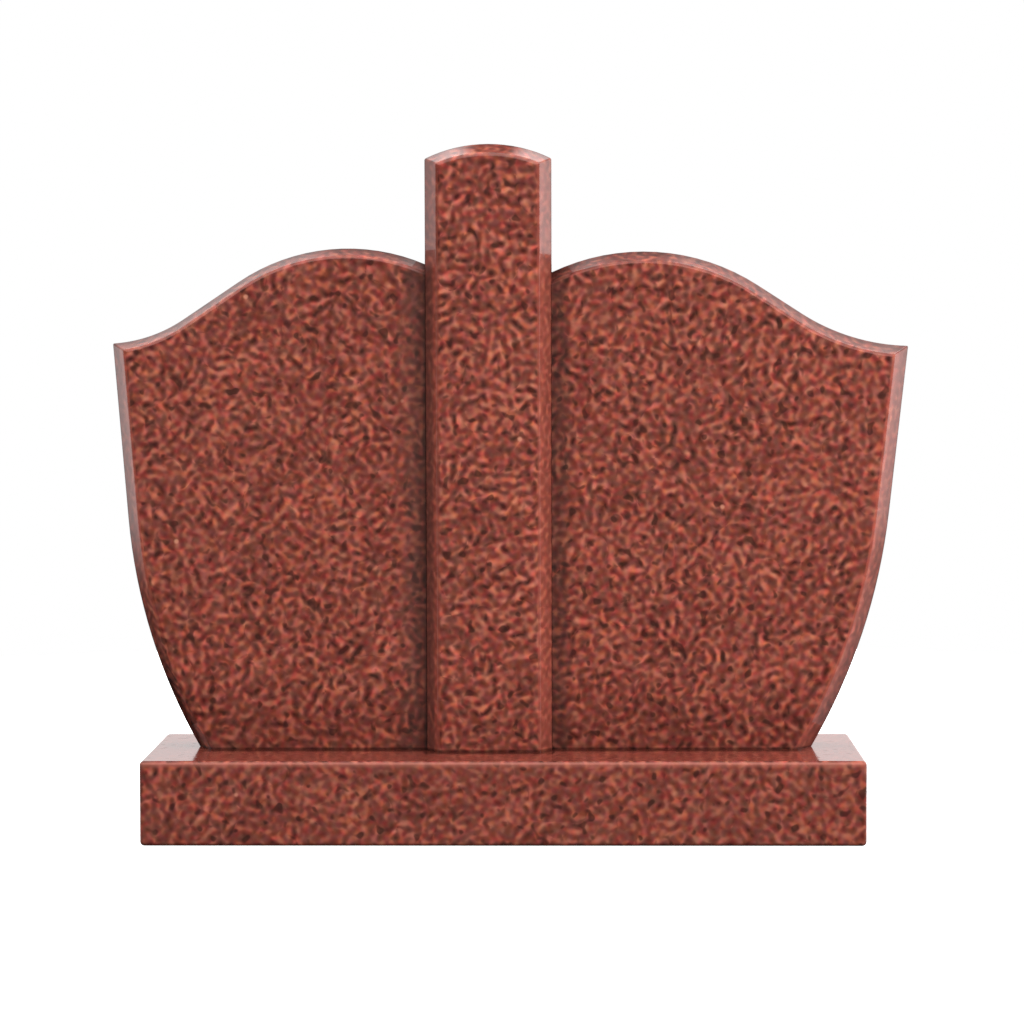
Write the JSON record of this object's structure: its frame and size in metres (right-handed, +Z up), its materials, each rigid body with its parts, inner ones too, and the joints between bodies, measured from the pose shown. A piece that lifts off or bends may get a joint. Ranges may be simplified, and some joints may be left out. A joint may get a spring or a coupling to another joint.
{
  "type": "winged headstone",
  "caption": "Polished red granite headstone: a bevelled wing with a scrolled top on either side of a taller arched pillar, on a low base slab that stands by its own weight.",
  "frame": {"origin": "middle of the base slab's underside", "axes": "+X to the right as seen from the front, +Y from the front to the back, +Z up"},
  "size_m": [1.1442, 0.3, 0.987],
  "materials": {
    "granite": "polished"
  },
  "bodies": {
    "root": {"base": "granite", "left_wing": "granite", "right_wing": "granite", "pillar": "granite"}
  },
  "joints": []
}
